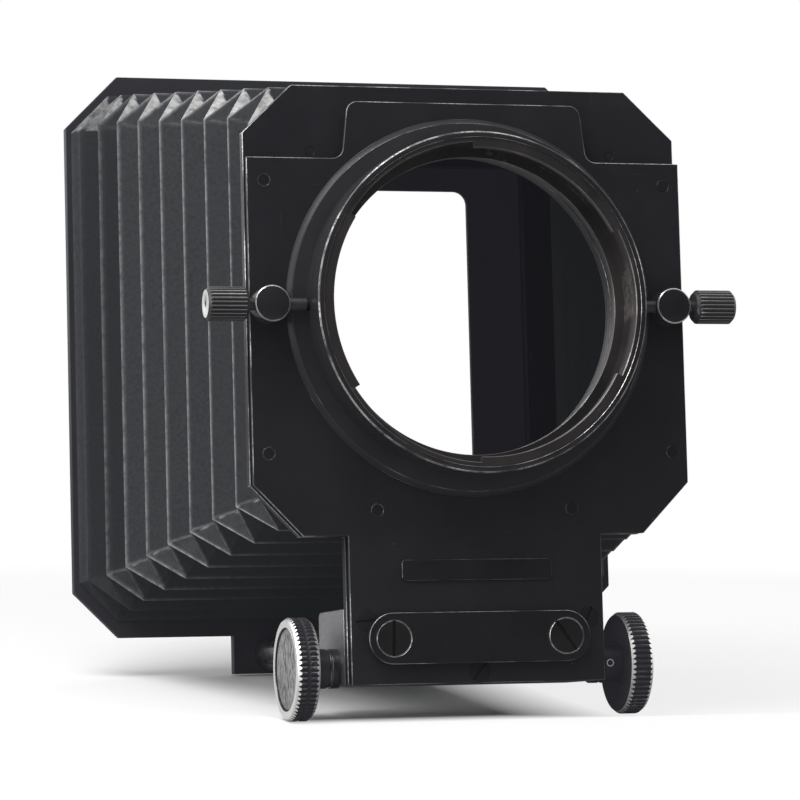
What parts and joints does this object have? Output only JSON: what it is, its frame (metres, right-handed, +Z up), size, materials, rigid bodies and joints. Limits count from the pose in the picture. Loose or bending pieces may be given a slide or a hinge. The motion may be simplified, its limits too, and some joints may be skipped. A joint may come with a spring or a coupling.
{
  "type": "macro bellows unit",
  "caption": "Tapered square bellows between a lens standard with a bayonet collar and filter slot and a rear frame with a mask, on racked rods driven by side knobs",
  "frame": {"origin": "where the optical axis meets the front face of the cover plate of the front standard", "axes": "+X to the right as seen from the lens, +Y along the optical axis away from the lens, towards the rear frame, +Z up"},
  "size_m": [0.15, 0.136, 0.1749],
  "materials": {
    "black_plate": "satin",
    "black_frame": "satin",
    "gloss_black": "gloss",
    "ring_metal": "satin",
    "black_steel": "satin",
    "bright_steel": "polished",
    "knob_black": "satin",
    "knob_leather": "matte",
    "nameplate_metal": "satin",
    "pad_nylon": "satin",
    "bellows_skin": "matte",
    "pinion_brass": "satin"
  },
  "bodies": {
    "front_standard": {"cover_plate": "black_plate", "slot_spacer": "black_plate", "back_plate": "black_plate", "plate_rivets": "black_steel", "neck_screws": "black_steel", "nameplate": "nameplate_metal", "collar_flange": "gloss_black", "lens_collar": "gloss_black", "collar_screws": "black_steel", "rack_housing": "black_frame", "drag_washers": "bright_steel", "clamp_post_left": "gloss_black", "clamp_post_right": "gloss_black", "shaft_bush_left": "gloss_black", "shaft_bush_right": "gloss_black", "bellows_front_clamp": "black_frame", "front_clamp_screws": "black_steel", "bellows": "bellows_skin"},
    "lens_ring": {"bayonet_ring": "ring_metal"},
    "rear_standard": {"rail_rod_left": "bright_steel", "rail_rod_right": "bright_steel", "rail_end_cap": "black_steel", "end_cap_screws": "bright_steel", "rod_rear_screws": "bright_steel", "rear_frame": "black_frame", "mask_plate": "black_frame", "mask_screws": "black_steel", "bellows_rear_clamp": "black_frame", "rear_clamp_screws": "black_steel"},
    "focus_shaft": {"drive_shaft": "bright_steel", "pinion_left": "pinion_brass", "pinion_right": "pinion_brass", "knob_left": "knob_black", "knob_right": "knob_black", "knob_disc_left": "knob_leather", "knob_disc_right": "knob_leather", "knob_set_screws": "black_steel"},
    "clamp_pad_left": {"pressure_pad_left": "pad_nylon"},
    "clamp_pad_right": {"pressure_pad_right": "pad_nylon"},
    "clamp_screw_left": {"thumbscrew_left": "bright_steel"},
    "clamp_screw_right": {"thumbscrew_right": "bright_steel"}
  },
  "joints": [
    {"name": "bellows_slide", "type": "slide", "parent": "front_standard", "child": "rear_standard", "axis": [0, -1, 0], "range_m": [0, 0.084], "deforming": ["bellows"]},
    {"name": "knob_turn", "type": "hinge", "parent": "front_standard", "child": "focus_shaft", "pos_m": [0, 0.013, -0.0866], "axis": [1, 0, 0], "range_deg": [0, 1604.3]},
    {"name": "lens_ring_turn", "type": "hinge", "parent": "front_standard", "child": "lens_ring", "pos_m": [0, -0.008, 0], "axis": [0, -1, 0], "continuous": true},
    {"name": "clamp_feed_left", "type": "slide", "parent": "front_standard", "child": "clamp_pad_left", "axis": [-1, 0, 0], "range_m": [-0.00025, 0.001]},
    {"name": "clamp_turn_left", "type": "hinge", "parent": "clamp_pad_left", "child": "clamp_screw_left", "pos_m": [-0.05, -0.00335, 0], "axis": [-1, 0, 0], "range_deg": [-180, 720]},
    {"name": "clamp_feed_right", "type": "slide", "parent": "front_standard", "child": "clamp_pad_right", "axis": [1, 0, 0], "range_m": [-0.00025, 0.001]},
    {"name": "clamp_turn_right", "type": "hinge", "parent": "clamp_pad_right", "child": "clamp_screw_right", "pos_m": [0.05, -0.00335, 0], "axis": [1, 0, 0], "range_deg": [-180, 720]}
  ],
  "couplings": [
    {"joint": "knob_turn", "follows": "bellows_slide", "rad_per_m": 333.33},
    {"joint": "clamp_turn_left", "follows": "clamp_feed_left", "rad_per_m": 12566},
    {"joint": "clamp_turn_right", "follows": "clamp_feed_right", "rad_per_m": 12566}
  ]
}
